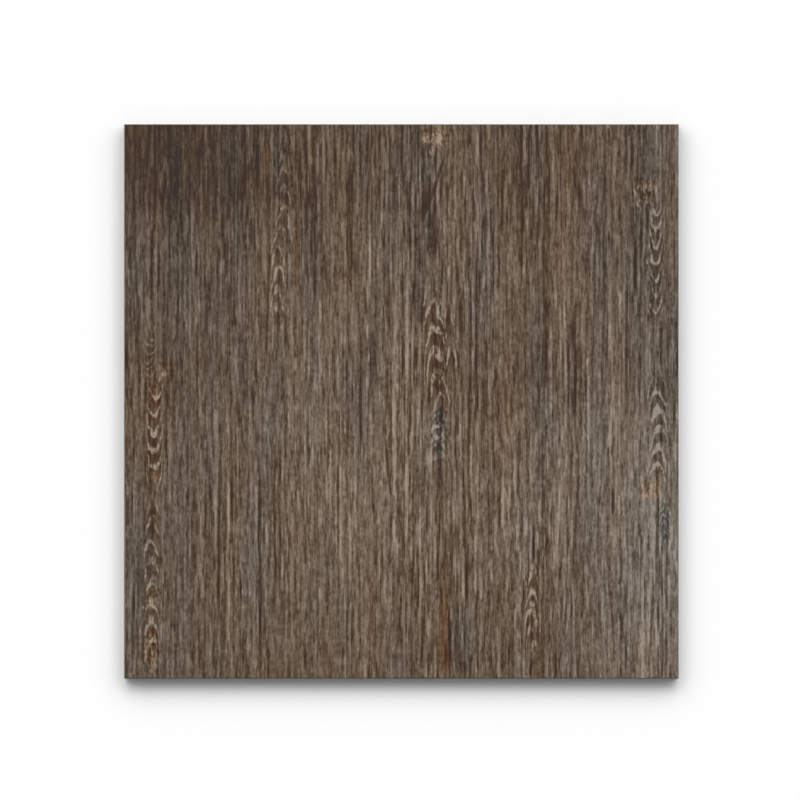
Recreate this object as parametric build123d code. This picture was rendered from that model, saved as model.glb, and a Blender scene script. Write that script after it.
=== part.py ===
"""Square rectified porcelain floor tile: one fired slab, face up, with a keyed back.

The origin is at the centre of the back, on the plane that the tile lies on.
+Z points to the printed face, and +Y runs along the printed wood grain.
"""

from build123d import *
import math
import os

# Driving dimensions of the slab, in millimetres
tile_width = 600.0      # across the grain, along X
tile_length = 600.0     # along the grain, along Y
tile_thickness = 9.0    # from the rib tops of the back to the printed face
arris = 0.8             # 45 degree bevel ground round the printed face

# Driving dimensions of the keyed back, in millimetres and degrees
cell_side = 36.0        # mouth of one square cell, sunk by the press stamp
cell_corner = 4.0       # bevel across the corners of that mouth, where the clay would tear
cell_depth = 0.6        # how far a cell sinks below the rib tops
cell_draft = 40.0       # lean of the cell walls, so that the stamp lets go
rib_width = 5.0         # rib left standing between two cells
least_border = 10.0     # narrowest plain border that the squaring wheels need

cell_pitch = cell_side + rib_width


def cells_in(side):
    """How many cells fit along one side of the tile, inside the plain border."""
    room = side - 2 * least_border + rib_width
    return math.floor(room / cell_pitch)


def ground_slab():
    """The slab with its four squared edges and the arris round its face."""
    slab = Box(
        tile_width,
        tile_length,
        tile_thickness,
        align=(Align.CENTER, Align.CENTER, Align.MIN),
    )
    printed_face = slab.faces().sort_by(Axis.Z)[-1]
    return chamfer(printed_face.edges(), arris)


def keying_cell():
    """The clay that the stamp pushes out of one cell: wide at its mouth, narrower inside."""
    square = Rectangle(cell_side, cell_side)
    mouth = chamfer(square.vertices(), cell_corner)
    return extrude(mouth, amount=cell_depth, taper=cell_draft)


def keyed_tile():
    """The slab with the grid of cells sunk into its back, which leaves the ribs standing."""
    grid = GridLocations(
        cell_pitch,
        cell_pitch,
        cells_in(tile_width),
        cells_in(tile_length),
    )
    stamped = keying_cell()
    return ground_slab() - [place * stamped for place in grid]


os.makedirs("parts", exist_ok=True)
export_step(keyed_tile(), "parts/porcelain_tile.step")
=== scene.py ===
"""Wood-look porcelain tile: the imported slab, dressed with its printed and embossed oak face.

The tile lies face up, the grain runs along +Y, and the camera looks straight down on it.
Places on the print are in millimetres from the middle of the face. All else is in metres.
"""

import math
from dataclasses import dataclass

import bmesh
import bpy
import numpy as np
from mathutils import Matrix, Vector, geometry


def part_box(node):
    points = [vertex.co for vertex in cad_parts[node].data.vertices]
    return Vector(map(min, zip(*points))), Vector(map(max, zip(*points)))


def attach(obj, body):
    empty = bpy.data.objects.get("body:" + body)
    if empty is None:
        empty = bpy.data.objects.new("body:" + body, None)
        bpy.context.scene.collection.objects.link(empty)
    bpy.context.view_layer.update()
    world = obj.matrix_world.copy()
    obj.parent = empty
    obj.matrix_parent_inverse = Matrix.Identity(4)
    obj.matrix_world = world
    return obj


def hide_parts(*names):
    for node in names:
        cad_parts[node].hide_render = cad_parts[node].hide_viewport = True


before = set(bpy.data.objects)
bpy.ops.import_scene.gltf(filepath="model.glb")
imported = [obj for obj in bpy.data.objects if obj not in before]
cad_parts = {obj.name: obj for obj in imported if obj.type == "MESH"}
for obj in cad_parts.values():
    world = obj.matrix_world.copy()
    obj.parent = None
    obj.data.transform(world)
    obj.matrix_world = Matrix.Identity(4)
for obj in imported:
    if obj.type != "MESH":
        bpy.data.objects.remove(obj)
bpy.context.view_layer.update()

# The slab, as the frame gives it
MM = 0.001
TILE_NODE = "porcelain_tile"
_, HIGH_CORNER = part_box(TILE_NODE)
HALF_WIDTH = HIGH_CORNER.x
HALF_LENGTH = HIGH_CORNER.y
THICKNESS = HIGH_CORNER.z

# Mesh of the embossed face
FACE_COLUMNS = 400          # across the grain, where the relief is fine
FACE_ROWS = 200             # along the grain, where it is drawn out
EMBOSS_DEPTH = 0.28 * MM    # deepest groove that the press leaves below the face
BUMP_DEPTH = 0.05 * MM      # of the pores and grinding marks that are too fine for the mesh
NEAR = 0.01 * MM            # points closer than this are the same

# Shares of the baked maps
MAP_FACE = 0.80             # side of the printed face
MAP_REST = 0.16             # width left for the edges, and for the back
MAP_GAP = 0.01
MAP_STRIP_USED = 0.8        # share of its strip that an edge fills

# The photograph's frame
IMAGE_SIDE = 800            # pixels
TILE_IN_IMAGE = 554.4       # pixels across the tile
TILE_OFF_CENTRE = 1.4       # pixels, to the right and down
CAMERA_HEIGHT = 3.0
SENSOR_WIDTH = 36.0         # millimetres, as the lens is

# The soft sky that lights the tile: brightest low down on the far side
SKY_STRENGTH = 750.0
SKY_ALL_ROUND = 0.085       # share of the light that comes from the near side too
SKY_NEAR = -0.26            # where the far side's light begins, as a share of +Y
SKY_FAR = 1.17              # where it would be full
SKY_FALL = 4.8              # how fast it fades towards the top
SKY_RISE = 2.2              # how fast it fades towards the horizon
FLOOR_SIDE = 40.0
FLOOR_GAP = 0.2 * MM


@dataclass
class ArchedFigure:
    """A column of nested arches, where growth rings come up to the face."""

    across: float
    along: float
    half_width: float
    half_length: float
    spacing: float          # from one arch to the next
    points: float           # 1 where the arches point to +Y, -1 where they point to -Y
    roundness: float = 0.1  # of the tips: 0 is pointed, 1 is round
    lean: float = 0.0       # sideways shift for each millimetre towards +Y
    strength: float = 1.0


@dataclass
class Patch:
    """A soft-edged spot or streak of another tone: a knot, a check, a pale ray or a stain."""

    across: float
    along: float
    half_width: float
    half_length: float
    tone: float             # added to the lightness of the print
    warmth: float = 0.0     # added towards brown, or towards grey where it is negative
    lean: float = 0.0


@dataclass
class Streaks:
    """Straight streaks of one width, laid side by side."""

    width: float
    length: float
    seed: float
    tone: float             # how far the strongest of them lighten or darken the print

    def sockets(self):
        return {"Width": self.width, "Length": self.length, "Seed": self.seed}


@dataclass
class SoftGrain:
    """Soft noise drawn out along the grain."""

    width: float
    length: float
    seed: float
    detail: float = 0.0

    def sockets(self):
        return {"Width": self.width, "Length": self.length, "Detail": self.detail, "Seed": self.seed}


ARCHED_FIGURES = (
    ArchedFigure(-271, 52, 8, 30, 8, -1, roundness=0.8, strength=0.55),
    ArchedFigure(-267, -34, 9, 52, 19, -1, roundness=0.9, strength=1.2),
    ArchedFigure(-270, -192, 9, 94, 22, 1, roundness=0.4, strength=0.75),
    ArchedFigure(-130, 190, 8, 106, 22, 1, lean=0.053, strength=0.65),
    ArchedFigure(37, 59, 11, 62, 25, 1, lean=-0.067, strength=1.1),
    ArchedFigure(53, 66, 7, 36, 44, 1, roundness=0.4, lean=-0.05, strength=0.8),
    ArchedFigure(41, -36, 9, 36, 11, 1, roundness=0.9, strength=0.45),
    ArchedFigure(275, 148, 9, 62, 18, -1),
    ArchedFigure(278, -28, 10, 56, 20, 1, roundness=0.6),
    ArchedFigure(285, -132, 7, 26, 9, 1, strength=0.6),
    ArchedFigure(141, -225, 7, 48, 21, 1, roundness=0.6, strength=0.8),
)

KNOTS = (
    Patch(37, 288, 17, 15, 0.08, 0.7),
    Patch(36, 270, 6, 8, 0.06, 0.6),
    Patch(265, 227, 14, 17, 0.09, 0.5),
    Patch(271, -94, 12, 11, 0.04, 0.9),
    Patch(280, -73, 5, 8, 0.10, 0.5),
    Patch(40, -33, 8, 26, 0.06, -0.3),
    Patch(-271, 52, 8, 28, -0.04, -0.1),
    Patch(-256, 35, 8, 9, 0.05, 0.5),
    Patch(-267, 8, 8, 12, 0.06, 0.4),
    Patch(-268, -84, 7, 12, -0.08, 0.4),
    Patch(-271, -216, 8, 22, 0.05, 0.4),
    Patch(-271, -268, 9, 26, 0.06, 0.7),
)

DARK_LINES = (
    Patch(-183, -72, 1.8, 62, -0.32),
    Patch(-153, -172, 2.2, 128, -0.36),
    Patch(-57, 187, 2.0, 74, -0.42),
    Patch(-44, 6, 2.0, 80, -0.38),
    Patch(-14, -76, 2.0, 36, -0.40, lean=-0.1),
    Patch(37, 235, 2.4, 38, -0.42, lean=0.32),
    Patch(52, -258, 1.8, 40, -0.36, -0.2),
    Patch(155, 120, 2.0, 165, -0.30, 0.2),
    Patch(188, 45, 1.8, 80, -0.32),
)

PALE_LINES = (
    Patch(-34, 163, 1.6, 36, 0.28),
    Patch(-7, -150, 2.2, 32, 0.26, lean=-0.1),
    Patch(27, 80, 1.5, 32, 0.20),
    Patch(32, 222, 1.5, 48, 0.16, lean=0.23),
    Patch(46, 187, 1.6, 38, 0.26, lean=-0.07),
    Patch(59, 46, 1.5, 28, 0.20, lean=-0.07),
    Patch(202, 2, 1.6, 66, 0.24),
    Patch(226, -22, 1.6, 44, 0.24),
    Patch(284, -46, 1.2, 24, 0.16, lean=-0.08),
    Patch(288, -50, 1.4, 34, 0.20, lean=-0.05),
)

PALE_FLECKS = (
    Patch(-126, 285, 3, 7, 0.26),
    Patch(-127, 264, 2.5, 6, 0.22),
    Patch(-131, 213, 3, 7, 0.24),
    Patch(-134, 171, 2.5, 7, 0.18),
    Patch(-136, 138, 3.5, 9, 0.18),
    Patch(-130, 146, 3, 7, 0.16),
    Patch(-135, 102, 2.4, 6, 0.16),
    Patch(42, 21, 2.4, 3.5, 0.24),
    Patch(142, -179, 2.6, 4, 0.36),
    Patch(141, -204, 2.8, 5, 0.42),
    Patch(142, -219, 2.8, 4, 0.46),
    Patch(137, -229, 2.6, 5, 0.42),
    Patch(146, -241, 3, 5, 0.50),
    Patch(143, -262, 3, 5, 0.48),
    Patch(255, 223, 2.6, 8, 0.30, 0.3, lean=-0.5),
    Patch(274, 228, 2.6, 6, 0.28, 0.3),
    Patch(273, 206, 2.8, 4, 0.28, 0.2),
)

STAINS = (
    Patch(41, -34, 9, 38, -0.02, -0.3),
    Patch(278, -20, 11, 52, -0.03, -0.25),
    Patch(276, 128, 10, 44, -0.03, -0.2),
    Patch(285, -132, 8, 26, -0.07, -0.5),
    Patch(34, 186, 7, 32, -0.28, -0.2),
    Patch(27, 214, 4.5, 24, -0.30, 0.2, lean=0.3),
    Patch(-12, -136, 3.5, 18, -0.18),
    Patch(-268, -130, 4, 18, -0.15),
    Patch(46, -241, 7.5, 66, -0.16, 0.6),
    Patch(66, -262, 14, 46, -0.05, -0.5),
    Patch(-112, 164, 3.5, 52, -0.06, 0.5),
    Patch(-146, 263, 4, 20, 0.11, 0.7),
    Patch(-155, 264, 4, 18, -0.04, -0.55),
    Patch(-135, 262, 5, 16, -0.02, -0.55),
    Patch(-50, -10, 90, 160, 0.085),
    Patch(-150, -250, 50, 60, 0.04),
    Patch(66, 165, 22, 60, 0.06),
    Patch(150, -80, 60, 110, 0.06),
    Patch(60, -40, 30, 260, -0.03),
    Patch(100, 50, 90, 70, -0.05),
)

# Fine streaks of the grain: hairs and short dashes
HAIRS = Streaks(1.45, 18, 11, tone=0.13)
DASHES = Streaks(2.0, 9, 19, tone=0.10)

# Coarse streaks of the grain, from threads to broad ribbons
THREADS = Streaks(1.75, 24, 29, tone=0.15)
STRANDS = Streaks(2.4, 36, 23, tone=0.18)
LONG_LINES = Streaks(2.2, 150, 53, tone=0.10)
SLATS = Streaks(4.2, 200, 61, tone=0.04)
RIBBONS = Streaks(9, 250, 37, tone=0.05)
STRAND_TO_PAINTED_SHADE = 3.6         # from a pale strand to the painted shade line beside it
RING_SPACING = 6.2          # between growth rings that are cut edge on

# Soft layers of the grain
FIBRES = SoftGrain(2.1, 20, 11.3, detail=2)
FLECKS = SoftGrain(2.2, 7, 15.1)
LINES = SoftGrain(5, 130, 23.7, detail=1)
BANDS = SoftGrain(26, 420, 31.9, detail=1)
CLOUDS = SoftGrain(120, 180, 47.2)
LUMPS = SoftGrain(8, 12, 43.9)
SPECKS = SoftGrain(2.5, 4, 41.3)
RING_DRIFT = SoftGrain(17, 420, 71.6)
RING_FADING = SoftGrain(14, 110, 73.2)
FIGURE_SWAY = SoftGrain(24, 40, 8.4)
LIVELY_AREAS = SoftGrain(40, 250, 67.4)
WARM_STRIPES = SoftGrain(30, 160, 53.6)
WARM_AREAS = SoftGrain(130, 400, 57.8)

# Finish of the bare body, in millimetres
WHEEL_MARKS = SoftGrain(0.35, 30, 5, detail=2)  # left by the wheels that square the edges
COARSE_SPECKLE = 4.0
FINE_SPECKLE = 0.8
WASH_HEIGHT = (0.12, 0.02)  # above the rib tops, where kiln wash begins and where it is full

# Where each broad tone of the board begins, and where it is full
FAR_EDGE = (90, 290)
FAR_END = (185, 225)
NEAR_EDGE = (-180, -290)
LEFT_EDGE = (-120, -290)
LEFT_HALF = (60, -300)
RIGHT_EDGE = (160, 270)
LOW_HALF = (30, -30)
LIVELY_MIDDLE = 45          # centre line of the band where the grain is strongest
OFF_LIVELY_MIDDLE = (80, 20)  # from that line, where the strength begins and is full


def linear(*srgb):
    """A colour picked as 0 to 255 sRGB, as the linear values that shaders take."""
    share = [channel / 255 for channel in srgb]
    return [c / 12.92 if c <= 0.04045 else ((c + 0.055) / 1.055) ** 2.4 for c in share] + [1.0]


def oak_tones(warmth):
    """Print colours from dark to light, redder than blue by about warmth, in sRGB steps."""
    greys = ((0.0, 22), (0.2, 42), (0.4, 64), (0.6, 87), (0.8, 111), (1.0, 140))
    stops = []
    for share, grey in greys:
        half = warmth / 2 * (0.85 + 0.65 * (1 - share) ** 2)
        stops.append((share, linear(grey + half, grey + 0.2, max(grey - half, 4))))
    return stops


BROWN_OAK = oak_tones(43)
GREY_OAK = oak_tones(19)
BODY_PALE = linear(86, 78, 71)
BODY_DARK = linear(62, 55, 49)
KILN_WASH = linear(176, 170, 160)


class Graph:
    """One node tree, with short calls that add a node and hand back its output."""

    def __init__(self, tree):
        self.tree = tree

    def node(self, idname, **settings):
        made = self.tree.nodes.new(idname)
        for name, value in settings.items():
            setattr(made, name, value)
        return made

    def feed(self, socket, value):
        if isinstance(value, bpy.types.NodeSocket):
            self.tree.links.new(value, socket)
        else:
            socket.default_value = value

    def math(self, operation, *values):
        made = self.node("ShaderNodeMath", operation=operation)
        for socket, value in zip(made.inputs, values):
            self.feed(socket, value)
        return made.outputs[0]

    def vector_math(self, operation, *values):
        made = self.node("ShaderNodeVectorMath", operation=operation)
        for socket, value in zip(made.inputs, values):
            self.feed(socket, value)
        return made.outputs["Value" if operation == "LENGTH" else "Vector"]

    def joined(self, x, y):
        made = self.node("ShaderNodeCombineXYZ")
        self.feed(made.inputs[0], x)
        self.feed(made.inputs[1], y)
        return made.outputs[0]

    def turned(self, place, centre, angle):
        """The place turned anticlockwise about the centre."""
        made = self.node("ShaderNodeVectorRotate", rotation_type="Z_AXIS")
        self.feed(made.inputs["Vector"], place)
        self.feed(made.inputs["Center"], centre)
        self.feed(made.inputs["Angle"], angle)
        return made.outputs[0]

    def add(self, *values):
        total = values[0]
        for value in values[1:]:
            total = self.math("ADD", total, value)
        return total

    def scaled(self, value, factor, offset=0.0):
        return self.math("MULTIPLY_ADD", value, factor, offset)

    def weighted(self, start, *terms):
        """The start plus each value times its weight."""
        total = start
        for value, weight in terms:
            total = self.math("MULTIPLY_ADD", value, weight, total)
        return total

    def step(self, value, low, high):
        """0 below low and 1 above high, with a smooth rise, or a fall where low is above high."""
        made = self.node("ShaderNodeMapRange", interpolation_type="SMOOTHSTEP")
        self.feed(made.inputs["Value"], value)
        self.feed(made.inputs["From Min"], low)
        self.feed(made.inputs["From Max"], high)
        return made.outputs["Result"]

    def mix(self, factor, first, second):
        made = self.node("ShaderNodeMix", data_type="FLOAT", clamp_factor=True)
        for socket, value in zip((made.inputs[0], made.inputs[2], made.inputs[3]), (factor, first, second)):
            self.feed(socket, value)
        return made.outputs[0]

    def mix_colour(self, factor, first, second):
        made = self.node("ShaderNodeMix", data_type="RGBA", clamp_factor=False)
        for socket, value in zip((made.inputs[0], made.inputs[6], made.inputs[7]), (factor, first, second)):
            self.feed(socket, value)
        return made.outputs[2]

    def ramp(self, value, stops):
        made = self.node("ShaderNodeValToRGB")
        self.feed(made.inputs[0], value)
        elements = made.color_ramp.elements
        while len(elements) < len(stops):
            elements.new(0.5)
        for element, (position, colour) in zip(elements, stops):
            element.position = position
            element.color = colour
        return made.outputs["Color"]

    def noise(self, x, y, detail):
        made = self.node("ShaderNodeTexNoise", noise_dimensions="2D")
        self.feed(made.inputs["Vector"], self.joined(x, y))
        self.feed(made.inputs["Scale"], 1.0)
        self.feed(made.inputs["Detail"], detail)
        return made.outputs[0]

    def chance(self, x, y):
        """A number from 0 to 1 that has nothing to do with those beside it."""
        made = self.node("ShaderNodeTexWhiteNoise", noise_dimensions="2D")
        self.feed(made.inputs["Vector"], self.joined(x, y))
        return made.outputs["Value"]

    def place(self, group, values):
        idname = "GeometryNodeGroup" if self.tree.bl_idname == "GeometryNodeTree" else "ShaderNodeGroup"
        made = self.node(idname, node_tree=group)
        for name, value in values.items():
            self.feed(made.inputs[name], value)
        return made.outputs


def new_group(name, kind, inputs, outputs, vectors=()):
    """An empty group with named number and vector sockets, as a graph with its inlet and outlet."""
    tree = bpy.data.node_groups.new(name, kind)
    for socket in vectors:
        tree.interface.new_socket(name=socket, in_out="INPUT", socket_type="NodeSocketVector")
    for direction, names in (("INPUT", inputs), ("OUTPUT", outputs)):
        for socket in names:
            tree.interface.new_socket(name=socket, in_out=direction, socket_type="NodeSocketFloat")
    graph = Graph(tree)
    graph.inlet = graph.node("NodeGroupInput").outputs
    graph.outlet = graph.node("NodeGroupOutput").inputs
    return graph


def stretched_noise_group(kind):
    """Noise drawn out along the grain, mostly between -1 and 1."""
    g = new_group(
        "Stretched noise",
        kind,
        ("Across", "Along", "Width", "Length", "Detail", "Seed"),
        ("Value",),
    )
    x = g.add(g.math("DIVIDE", g.inlet["Across"], g.inlet["Width"]), g.inlet["Seed"])
    y = g.add(g.math("DIVIDE", g.inlet["Along"], g.inlet["Length"]), g.inlet["Seed"])
    g.feed(g.outlet["Value"], g.scaled(g.noise(x, y, g.inlet["Detail"]), 4.0, -2.0))
    return g.tree


def straight_streak_group(kind):
    """Straight streaks side by side, mostly near 0, with a few that run up to -1.5 or 1.5."""
    g = new_group("Straight streaks", kind, ("Across", "Along", "Width", "Length", "Seed"), ("Value",))

    # Streaks of uneven width, each with a number of its own
    steps_across = g.math("DIVIDE", g.inlet["Across"], g.inlet["Width"])
    uneven = g.math("SINE", g.math("MULTIPLY_ADD", steps_across, 1.9, g.inlet["Seed"]))
    steps_across = g.math("MULTIPLY_ADD", uneven, 0.22, steps_across)
    streak = g.add(g.math("FLOOR", steps_across), g.inlet["Seed"])
    own = g.chance(streak, 0.5)

    # Along each streak, runs of one tone that fade into the next
    steps_along = g.math("DIVIDE", g.inlet["Along"], g.inlet["Length"])
    steps_along = g.math("MULTIPLY", steps_along, g.scaled(own, 1.2, 0.5))
    steps_along = g.math("MULTIPLY_ADD", own, 37.0, steps_along)
    run = g.math("FLOOR", steps_along)
    into_next = g.step(g.math("FRACT", steps_along), 0.2, 0.8)
    tone = g.mix(into_next, g.chance(streak, run), g.chance(streak, g.add(run, 1.0)))

    # The cube of the tone leaves many faint runs and few strong ones
    level = g.scaled(tone, 2.0, -1.0)
    g.feed(g.outlet["Value"], g.math("MULTIPLY", g.math("MULTIPLY", level, level), g.scaled(level, 1.5)))
    return g.tree


def soft_patch_group(kind):
    """A soft-edged oval: 1 in its middle, 0 outside."""
    g = new_group("Soft patch", kind, (), ("Mask",), vectors=("Place", "Centre", "Half Size"))
    from_centre = g.vector_math("SUBTRACT", g.inlet["Place"], g.inlet["Centre"])
    reach = g.vector_math("LENGTH", g.vector_math("DIVIDE", from_centre, g.inlet["Half Size"]))
    g.feed(g.outlet["Mask"], g.step(reach, 1.14, 0.55))
    return g.tree


def arched_figure_group(kind):
    """Nested arches in a narrow column: their lines, and where they show."""
    g = new_group(
        "Arched figure",
        kind,
        ("Ragged", "Arches", "Roundness"),
        ("Line", "Mask"),
        vectors=("Place", "Centre", "Half Size"),
    )
    from_centre = g.vector_math("SUBTRACT", g.inlet["Place"], g.inlet["Centre"])
    parts = g.node("ShaderNodeSeparateXYZ")
    g.feed(parts.inputs[0], g.vector_math("DIVIDE", from_centre, g.inlet["Half Size"]))
    aside = g.math("ABSOLUTE", parts.outputs[0])
    squared = g.math("MULTIPLY", aside, aside)

    # How far an arch falls back from its tip towards its sides
    tip = g.math("SQRT", g.add(squared, 0.02))
    pointed = g.math("MULTIPLY", tip, g.scaled(g.inlet["Roundness"], -0.55, 0.55))
    flat = g.scaled(g.inlet["Roundness"], -0.3, 0.6)
    steep = g.scaled(g.inlet["Roundness"], 0.3, 0.4)
    drop = g.math("MULTIPLY_ADD", squared, g.math("MULTIPLY_ADD", squared, steep, flat), pointed)

    # One pale line to each arch, inside a ragged outline
    turn = g.math("MULTIPLY_ADD", parts.outputs[1], g.inlet["Arches"], drop)
    wave = g.math("COSINE", g.scaled(turn, math.tau))
    g.feed(g.outlet["Line"], g.step(g.math("MULTIPLY_ADD", aside, 0.2, wave), 0.1, 0.9))
    reach = g.math("MAXIMUM", aside, g.math("ABSOLUTE", parts.outputs[1]))
    g.feed(g.outlet["Mask"], g.step(g.math("MULTIPLY_ADD", g.inlet["Ragged"], 0.2, reach), 1.15, 0.65))
    return g.tree


def oak_print_group(kind, stretched_noise):
    """The whole printed board: its lightness, its warmth, and the relief that goes with it."""
    straight_streaks = straight_streak_group(kind)
    arched_figure = arched_figure_group(kind)
    soft_patch = soft_patch_group(kind)
    g = new_group(
        "Oak print",
        kind,
        ("Across", "Along"),
        ("Lightness", "Warmth", "Emboss", "Pores"),
    )
    across = g.inlet["Across"]
    along = g.inlet["Along"]

    def soft(layer):
        return g.place(stretched_noise, {"Across": across, "Along": along, **layer.sockets()})["Value"]

    def streaks(layer, aside=0.0):
        where = g.add(across, aside) if aside else across
        return g.place(straight_streaks, {"Across": where, "Along": along, **layer.sockets()})["Value"]

    def put(group, feature, place, values):
        """The group laid over one feature of the print, turned to its lean."""
        centre = (feature.across, feature.along, 0.0)
        half_size = (feature.half_width, feature.half_length, 1.0)
        if feature.lean:
            place = g.turned(place, centre, math.atan(feature.lean))
        return g.place(group, {"Place": place, "Centre": centre, "Half Size": half_size, **values})

    # Layers of the grain that are used more than once
    ribbons = streaks(RIBBONS)
    fibres = soft(FIBRES)
    lines = soft(LINES)
    bands = soft(BANDS)
    lumps = soft(LUMPS)
    mottle = g.weighted(soft(SPECKS), (lumps, 0.75))

    # Each pale strand gets a painted shade line beside it, standing in for the shade of its relief; and
    # growth rings cut edge on
    strands_with_painted_shade = g.weighted(streaks(STRANDS), (streaks(STRANDS, aside=STRAND_TO_PAINTED_SHADE), -0.55))
    ring_place = g.weighted(across, (soft(RING_DRIFT), 2.6))
    rings = g.math("SINE", g.scaled(ring_place, math.tau / RING_SPACING))
    rings = g.math("MULTIPLY", rings, g.scaled(soft(RING_FADING), 0.5, 0.8))

    # The arched figures: the dark ground between their arches, and the pale crests on it
    swayed_across = g.weighted(across, (soft(FIGURE_SWAY), 1.5), (lumps, 0.5))
    swayed = g.joined(swayed_across, g.weighted(along, (lumps, 2.8)))
    ground = 0.0
    crests = 0.0
    for figure in ARCHED_FIGURES:
        arches = figure.points * figure.half_length / figure.spacing
        shape = {"Ragged": fibres, "Arches": arches, "Roundness": figure.roundness}
        made = put(arched_figure, figure, swayed, shape)
        shows = g.math("MULTIPLY", made["Mask"], figure.strength)
        ground = g.add(ground, shows)
        crests = g.math("MULTIPLY_ADD", shows, made["Line"], crests)
    crests = g.math("MULTIPLY", crests, g.scaled(mottle, 0.22, 0.85))

    # Broad tone: dark in the far left corner, palest on the right below the middle
    far_edge = g.step(along, *FAR_EDGE)
    far_end = g.step(along, *FAR_END)
    near_edge = g.step(along, *NEAR_EDGE)
    left_edge = g.step(across, *LEFT_EDGE)
    left_half = g.step(across, *LEFT_HALF)
    right_edge = g.step(across, *RIGHT_EDGE)
    low_half = g.step(along, *LOW_HALF)
    tone = g.weighted(
        0.512,
        (far_edge, -0.10),
        (near_edge, -0.05),
        (left_edge, -0.10),
        (low_half, 0.05),
        (soft(CLOUDS), 0.02),
        (g.math("MULTIPLY", far_end, left_half), -0.17),
        (g.math("MULTIPLY", left_edge, low_half), 0.06),
        (g.math("MULTIPLY", right_edge, low_half), 0.17),
        (g.math("MULTIPLY", right_edge, far_edge), 0.09),
    )

    # The grain: the coarse layers are livelier in some parts of the board than in others
    fine = g.weighted(
        0.0,
        (streaks(HAIRS), HAIRS.tone),
        (streaks(DASHES), DASHES.tone),
        (soft(FLECKS), 0.06),
        (mottle, 0.07),
    )
    coarse = g.weighted(
        0.0,
        (streaks(THREADS), THREADS.tone),
        (strands_with_painted_shade, STRANDS.tone),
        (streaks(LONG_LINES), LONG_LINES.tone),
        (streaks(SLATS), SLATS.tone),
        (ribbons, RIBBONS.tone),
        (fibres, 0.07),
        (lines, 0.02),
        (bands, 0.06),
        (rings, 0.08),
    )
    off_middle = g.math("ABSOLUTE", g.math("SUBTRACT", across, LIVELY_MIDDLE))
    lively = g.weighted(
        0.94,
        (soft(LIVELY_AREAS), 0.2),
        (g.step(off_middle, *OFF_LIVELY_MIDDLE), 0.3),
        (left_edge, -0.15),
        (far_edge, 0.16),
        (ground, -0.15),
    )
    grain = g.math("MULTIPLY_ADD", coarse, lively, fine)
    grain = g.math("MULTIPLY", grain, g.scaled(grain, -0.4, 1.0))

    lightness = g.weighted(g.add(tone, grain), (crests, 0.62), (ground, -0.21))
    warmth = g.weighted(
        0.62,
        (soft(WARM_STRIPES), 0.17),
        (soft(WARM_AREAS), 0.09),
        (ribbons, 0.08),
        (right_edge, -0.29),
        (left_edge, -0.15),
        (ground, 0.2),
        (crests, -0.25),
    )
    emboss = g.weighted(0.62, (lines, 0.27), (bands, 0.13), (crests, 0.6), (ground, -0.4))

    def spread(patches, place, evenness):
        nonlocal lightness, warmth, emboss
        for patch in patches:
            mask = put(soft_patch, patch, place, {})["Mask"]
            lightness = g.weighted(lightness, (g.math("MULTIPLY", mask, evenness), patch.tone))
            emboss = g.weighted(emboss, (mask, patch.tone))
            if patch.warmth:
                warmth = g.weighted(warmth, (mask, patch.warmth))

    ragged = g.joined(g.weighted(across, (fibres, 0.5)), along)
    lumpy = g.joined(g.weighted(across, (mottle, 2.0)), g.weighted(along, (lumps, 5.0)))
    spread(DARK_LINES + PALE_LINES + PALE_FLECKS + STAINS, ragged, 1.0)
    spread(KNOTS, lumpy, g.weighted(1.0, (lumps, 0.8), (mottle, 2.2)))

    g.feed(g.outlet["Lightness"], lightness)
    g.feed(g.outlet["Warmth"], g.math("MINIMUM", g.math("MAXIMUM", warmth, -0.3), 1.6))
    g.feed(g.outlet["Emboss"], g.step(emboss, 0.0, 1.0))
    g.feed(g.outlet["Pores"], fibres)
    return g.tree


def speckle_group():
    """Fine mineral grains, mostly between -1 and 1, the same in all directions."""
    g = new_group("Mineral speckle", "ShaderNodeTree", ("Size",), ("Value",))
    where = g.node("ShaderNodeTexCoord")
    finer = g.node("ShaderNodeVectorMath", operation="SCALE")
    g.feed(finer.inputs[0], where.outputs["Object"])
    g.feed(finer.inputs["Scale"], g.math("DIVIDE", 1.0, g.inlet["Size"]))
    made = g.node("ShaderNodeTexNoise", noise_dimensions="3D")
    g.feed(made.inputs["Vector"], finer.outputs[0])
    g.feed(made.inputs["Scale"], 1.0)
    g.feed(made.inputs["Detail"], 1.0)
    g.feed(g.outlet["Value"], g.scaled(made.outputs[0], 3.6, -1.8))
    return g.tree


def new_material(name):
    """A material with one Principled shader, as a graph with that shader."""
    material = bpy.data.materials.new(name)
    material.use_nodes = True
    g = Graph(material.node_tree)
    g.tree.nodes.clear()
    g.shader = g.node("ShaderNodeBsdfPrincipled")
    output = g.node("ShaderNodeOutputMaterial")
    g.feed(output.inputs["Surface"], g.shader.outputs["BSDF"])
    return material, g


def in_millimetres(g):
    """Where a point of the tile is, in millimetres: across, along, and above the rib tops."""
    where = g.node("ShaderNodeTexCoord")
    parts = g.node("ShaderNodeSeparateXYZ")
    g.feed(parts.inputs[0], where.outputs["Object"])
    return [g.scaled(parts.outputs[axis], 1 / MM) for axis in range(3)]


def add_bump(g, height, distance):
    bump = g.node("ShaderNodeBump")
    g.feed(bump.inputs["Height"], height)
    g.feed(bump.inputs["Distance"], distance)
    g.feed(bump.inputs["Strength"], 1.0)
    g.feed(g.shader.inputs["Normal"], bump.outputs["Normal"])


def printed_face_material(oak_print):
    """Matt glaze over the ink-jet oak print, rougher in the pores than on the lands."""
    material, g = new_material("printed_matt_glaze")
    across, along, _ = in_millimetres(g)
    oak = g.place(oak_print, {"Across": across, "Along": along})
    grey = g.ramp(oak["Lightness"], GREY_OAK)
    brown = g.ramp(oak["Lightness"], BROWN_OAK)
    g.feed(g.shader.inputs["Base Color"], g.mix_colour(oak["Warmth"], grey, brown))
    g.feed(g.shader.inputs["Roughness"], g.scaled(oak["Pores"], -0.06, 0.6))
    add_bump(g, oak["Pores"], BUMP_DEPTH)
    return material


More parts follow.
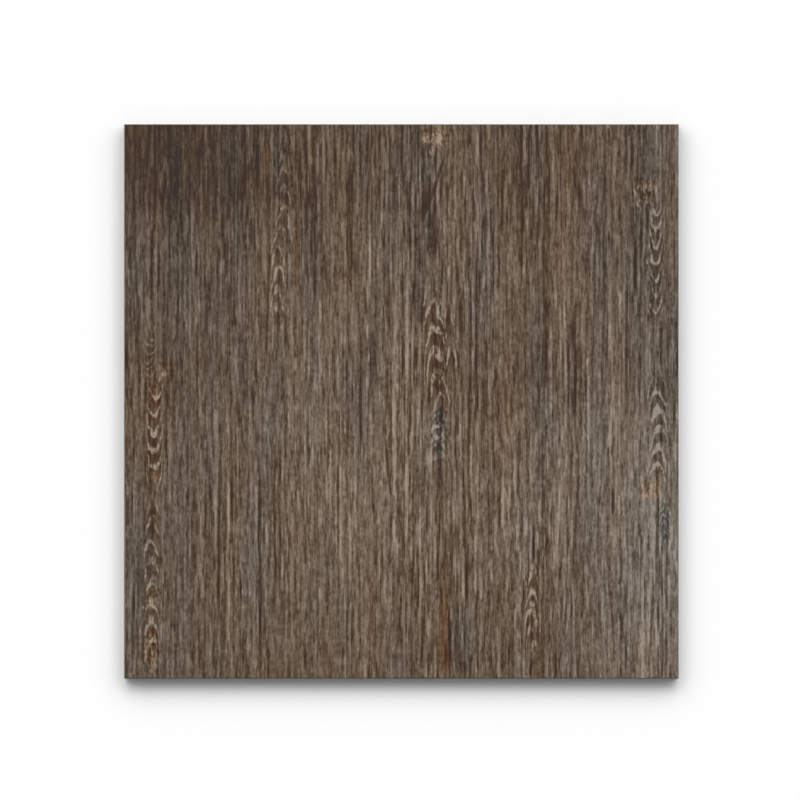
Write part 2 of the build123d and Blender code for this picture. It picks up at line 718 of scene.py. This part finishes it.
def fired_body_material(stretched_noise, speckle):
    """Bare porcelain body: ground edges, and the back with kiln wash on its ribs."""
    material, g = new_material("fired_porcelain_body")
    across, along, above = in_millimetres(g)
    coarse = g.place(speckle, {"Size": COARSE_SPECKLE * MM})["Value"]
    fine = g.place(speckle, {"Size": FINE_SPECKLE * MM})["Value"]
    round_edge = g.add(across, along)
    values = {"Across": above, "Along": round_edge, **WHEEL_MARKS.sockets()}
    wheel_marks = g.place(stretched_noise, values)["Value"]
    shade = g.weighted(0.5, (coarse, 0.18), (fine, 0.3), (wheel_marks, 0.15))
    body = g.mix_colour(shade, BODY_DARK, BODY_PALE)
    rib_top = g.step(above, *WASH_HEIGHT)
    patchy = g.step(g.weighted(coarse, (fine, 0.4)), -0.6, 0.9)
    wash = g.math("MULTIPLY", rib_top, g.scaled(patchy, 0.75))
    g.feed(g.shader.inputs["Base Color"], g.mix_colour(wash, body, KILN_WASH))
    g.feed(g.shader.inputs["Roughness"], g.weighted(0.7, (fine, 0.05), (wash, 0.15)))
    g.feed(g.shader.inputs["Specular IOR Level"], 0.2)
    add_bump(g, g.weighted(0.0, (fine, 0.6), (wheel_marks, 0.4)), BUMP_DEPTH)
    return material


def embossed_depths(points):
    """How far the press sinks each point of the face, in metres, in step with the print."""
    mesh = bpy.data.meshes.new("press_plate")
    mesh.from_pydata([(x, y, 0.0) for x, y in points], [], [])
    plate = bpy.data.objects.new("press_plate", mesh)
    bpy.context.scene.collection.objects.link(plate)

    tree = bpy.data.node_groups.new("Press the grain", "GeometryNodeTree")
    tree.interface.new_socket(name="Geometry", in_out="INPUT", socket_type="NodeSocketGeometry")
    tree.interface.new_socket(name="Geometry", in_out="OUTPUT", socket_type="NodeSocketGeometry")
    g = Graph(tree)
    parts = g.node("ShaderNodeSeparateXYZ")
    g.feed(parts.inputs[0], g.node("GeometryNodeInputPosition").outputs[0])
    across, along = (g.scaled(parts.outputs[axis], 1 / MM) for axis in (0, 1))
    plan = oak_print_group("GeometryNodeTree", stretched_noise_group("GeometryNodeTree"))
    oak = g.place(plan, {"Across": across, "Along": along})
    lift = g.node("ShaderNodeCombineXYZ")
    g.feed(lift.inputs[2], g.scaled(oak["Emboss"], EMBOSS_DEPTH, -EMBOSS_DEPTH))
    press = g.node("GeometryNodeSetPosition")
    g.feed(press.inputs["Geometry"], g.node("NodeGroupInput").outputs[0])
    g.feed(press.inputs["Offset"], lift.outputs[0])
    g.feed(g.node("NodeGroupOutput").inputs[0], press.outputs[0])

    plate.modifiers.new("press", "NODES").node_group = tree
    pressed = plate.evaluated_get(bpy.context.evaluated_depsgraph_get())
    heights = np.zeros(len(points) * 3, np.float32)
    pressed.data.vertices.foreach_get("co", heights)
    bpy.data.objects.remove(plate)
    bpy.data.meshes.remove(mesh)
    bpy.data.node_groups.remove(tree)
    return -heights.reshape(-1, 3)[:, 2]


def packed_cells():
    """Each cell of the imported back: the corners of its mouth and of its floor, in step."""
    copy = bmesh.new()
    copy.from_mesh(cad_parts[TILE_NODE].data)
    bmesh.ops.remove_doubles(copy, verts=copy.verts, dist=NEAR)
    bmesh.ops.dissolve_limit(copy, angle_limit=0.01, verts=copy.verts, edges=copy.edges)
    cells = []
    for face in copy.faces:
        if all(NEAR < v.co.z < THICKNESS / 2 for v in face.verts):
            ends = [[e.other_vert(v).co for e in v.link_edges] for v in face.verts]
            mouth = [min(found, key=lambda co: co.z)[:] for found in ends]
            cells.append((mouth, [v.co[:] for v in face.verts]))
    copy.free()
    return cells


def filled_ribs(outline, mouths):
    """Triangles of the flat back between the outline and the cells' mouths.

    They are numbers into one list: the points of the outline, then those of each mouth.
    """
    plan = [Vector(point) for point in outline]
    loops = [list(range(len(plan)))]
    for mouth in mouths:
        clockwise = range(len(plan), len(plan) + len(mouth))
        loops.append(list(reversed(clockwise)))
        plan += [Vector(point[:2]) for point in mouth]
    _, _, triangles, was, _, owners = geometry.delaunay_2d_cdt(plan, [], loops, 0, 1e-7)
    between = [triangle for triangle, owner in zip(triangles, owners) if owner == [0]]
    return [[was[k][0] for k in reversed(triangle)] for triangle in between]


def build_tile(materials):
    """The whole tile as one closed mesh: embossed face, ground arris and edges, keyed back."""
    node_points = [v.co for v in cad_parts[TILE_NODE].data.vertices]
    arris = HALF_WIDTH - max(p.x for p in node_points if p.z > THICKNESS - NEAR)
    face_half_width = HALF_WIDTH - arris
    face_half_length = HALF_LENGTH - arris

    # The embossed face, row by row from the near edge
    columns = np.linspace(-face_half_width, face_half_width, FACE_COLUMNS + 1)
    rows = np.linspace(-face_half_length, face_half_length, FACE_ROWS + 1)
    x, y = np.meshgrid(columns, rows)
    number = np.arange(x.size).reshape(x.shape)
    depth = embossed_depths(np.column_stack((x.ravel(), y.ravel()))).reshape(x.shape)
    quads = np.stack((number[:-1, :-1], number[:-1, 1:], number[1:, 1:], number[1:, :-1]), 2).reshape(-1, 4)

    # Round the rim, anticlockwise from above, then the same round below the arris and at the foot
    rim = np.concatenate((number[0, :-1], number[:-1, -1], number[-1, :0:-1], number[:0:-1, 0]))
    outline = np.column_stack((x.ravel()[rim] * HALF_WIDTH, y.ravel()[rim] * HALF_LENGTH))
    outline /= (face_half_width, face_half_length)
    shoulder = x.size + np.arange(len(rim))
    foot = shoulder + len(rim)

    # The arris wheel cuts a straight plane, so where the rim is sunk it lies further out
    x[:, 0] -= depth[:, 0]
    x[:, -1] += depth[:, -1]
    y[0, :] -= depth[0, :]
    y[-1, :] += depth[-1, :]
    points = [np.column_stack((x.ravel(), y.ravel(), THICKNESS - depth.ravel()))]
    points.append(np.column_stack((outline, np.full(len(rim), THICKNESS - arris))))
    points.append(np.column_stack((outline, np.zeros(len(rim)))))

    def band(upper, lower):
        return np.column_stack((upper, lower, np.roll(lower, -1), np.roll(upper, -1)))

    # The back: cells as packed, with the ribs and the border filled in between them
    cells = packed_cells()
    mouths = [mouth for mouth, _ in cells]
    first = foot[-1] + 1
    at_back = list(foot) + list(range(first, first + sum(map(len, mouths))))
    back = [[int(at_back[k]) for k in triangle] for triangle in filled_ribs(outline, mouths)]
    points += [np.array(mouth) for mouth in mouths] + [np.array(floor) for _, floor in cells]
    mouth_at = first
    floor_at = first + sum(map(len, mouths))
    for mouth, _ in cells:
        sides = len(mouth)
        for k in range(sides):
            after = (k + 1) % sides
            back.append([floor_at + after, floor_at + k, mouth_at + k, mouth_at + after])
        back.append(list(range(floor_at, floor_at + sides)))
        mouth_at += sides
        floor_at += sides

    bevel = band(rim, shoulder)
    edge = band(shoulder, foot)
    mesh = bpy.data.meshes.new("wood_look_tile")
    mesh.from_pydata(np.concatenate(points), [], quads.tolist() + bevel.tolist() + edge.tolist() + back)
    printed = np.arange(len(mesh.polygons)) < len(quads)
    mesh.polygons.foreach_set("use_smooth", printed)
    mesh.polygons.foreach_set("material_index", np.where(printed, 0, 1))
    ends = np.zeros(len(mesh.edges) * 2, np.int32)
    mesh.edges.foreach_get("vertices", ends)
    mesh.edges.foreach_set("use_edge_sharp", np.isin(ends.reshape(-1, 2), rim).all(axis=1))
    for material in materials:
        mesh.materials.append(material)
    lay_out_bake_map(mesh, len(quads) + len(bevel), len(edge))
    mesh.validate()
    tile = bpy.data.objects.new("wood_look_tile", mesh)
    bpy.context.scene.collection.objects.link(tile)
    return tile


def lay_out_bake_map(mesh, from_above, edges):
    """A flat layout for the baked maps, with most of it for the printed face.

    The first from_above faces are seen from above, the next are the edges, the rest is the back.
    """
    corner = np.zeros(len(mesh.loops), np.int32)
    mesh.loops.foreach_get("vertex_index", corner)
    sides = np.zeros(len(mesh.polygons), np.int32)
    mesh.polygons.foreach_get("loop_total", sides)
    points = np.zeros(len(mesh.vertices) * 3)
    mesh.vertices.foreach_get("co", points)
    x, y, z = points.reshape(-1, 3)[corner].T
    share_x = (x + HALF_WIDTH) / (2 * HALF_WIDTH)
    share_y = (y + HALF_LENGTH) / (2 * HALF_LENGTH)
    above, edge, back = range(3)
    region = np.repeat((above, edge, back), (from_above, edges, len(mesh.polygons) - from_above - edges))
    region = np.repeat(region, sides)
    which_edge = np.zeros(len(mesh.polygons))
    lengths = (FACE_COLUMNS, FACE_ROWS, FACE_COLUMNS, FACE_ROWS)
    which_edge[from_above:from_above + edges] = np.repeat(range(4), lengths)
    which_edge = np.repeat(which_edge, sides)
    along_edge = np.where(which_edge % 2, share_y, share_x)
    strip = MAP_REST / 4
    edge_u = MAP_FACE + MAP_GAP + strip * (which_edge + MAP_STRIP_USED * z / THICKNESS)
    back_v = MAP_FACE + MAP_GAP + MAP_REST * share_y
    u = np.where(region == edge, edge_u, MAP_FACE * share_x)
    v = np.where(region == edge, MAP_FACE * along_edge, MAP_FACE * share_y)
    v = np.where(region == back, back_v, v)
    layer = mesh.uv_layers.new(name="OFBake")
    layer.uv.foreach_set("vector", np.column_stack((u, v)).ravel() + MAP_GAP)


def white_floor():
    material, g = new_material("white_floor")
    g.feed(g.shader.inputs["Base Color"], (1.0, 1.0, 1.0, 1.0))
    g.feed(g.shader.inputs["Roughness"], 1.0)
    g.feed(g.shader.inputs["Specular IOR Level"], 0.0)
    shape = bmesh.new()
    bmesh.ops.create_grid(shape, x_segments=1, y_segments=1, size=FLOOR_SIDE / 2)
    mesh = bpy.data.meshes.new("floor")
    shape.to_mesh(mesh)
    shape.free()
    mesh.materials.append(material)
    floor = bpy.data.objects.new("floor", mesh)
    floor.location.z = -FLOOR_GAP
    bpy.context.scene.collection.objects.link(floor)


def soft_sky():
    """Light from all round, strongest on the far side, so that shadows fall towards -Y."""
    world = bpy.data.worlds.new("soft_sky")
    world.use_nodes = True
    bpy.context.scene.world = world
    g = Graph(world.node_tree)
    g.tree.nodes.clear()
    towards = g.node("ShaderNodeSeparateXYZ")
    g.feed(towards.inputs[0], g.node("ShaderNodeTexCoord").outputs["Generated"])
    far_side = g.step(towards.outputs["Y"], SKY_NEAR, SKY_FAR)
    from_all_round = g.scaled(far_side, 1 - SKY_ALL_ROUND, SKY_ALL_ROUND)
    above = g.math("ABSOLUTE", towards.outputs["Z"])
    low_down = g.math("POWER", g.math("SUBTRACT", 1.0, above), SKY_FALL)
    low_down = g.math("MULTIPLY", low_down, g.math("POWER", above, SKY_RISE))
    light = g.node("ShaderNodeBackground")
    g.feed(light.inputs["Color"], (1.0, 1.0, 1.0, 1.0))
    g.feed(light.inputs["Strength"], g.scaled(g.math("MULTIPLY", from_all_round, low_down), SKY_STRENGTH))
    output = g.node("ShaderNodeOutputWorld")
    g.feed(output.inputs["Surface"], light.outputs[0])


def camera_overhead():
    pixel = 2 * HALF_WIDTH / TILE_IN_IMAGE
    data = bpy.data.cameras.new("camera")
    data.sensor_width = SENSOR_WIDTH
    data.lens = SENSOR_WIDTH * CAMERA_HEIGHT / (IMAGE_SIDE * pixel)
    camera = bpy.data.objects.new("camera", data)
    off_centre = TILE_OFF_CENTRE * pixel
    camera.location = (-off_centre, off_centre, THICKNESS + CAMERA_HEIGHT)
    bpy.context.scene.collection.objects.link(camera)
    bpy.context.scene.camera = camera


speckle = speckle_group()
stretched_noise = stretched_noise_group("ShaderNodeTree")
oak_print = oak_print_group("ShaderNodeTree", stretched_noise)
printed_face = printed_face_material(oak_print)
fired_body = fired_body_material(stretched_noise, speckle)
tile = build_tile((printed_face, fired_body))
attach(tile, "root")
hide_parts(TILE_NODE)

white_floor()
soft_sky()
camera_overhead()
bpy.context.scene.view_settings.view_transform = "Standard"
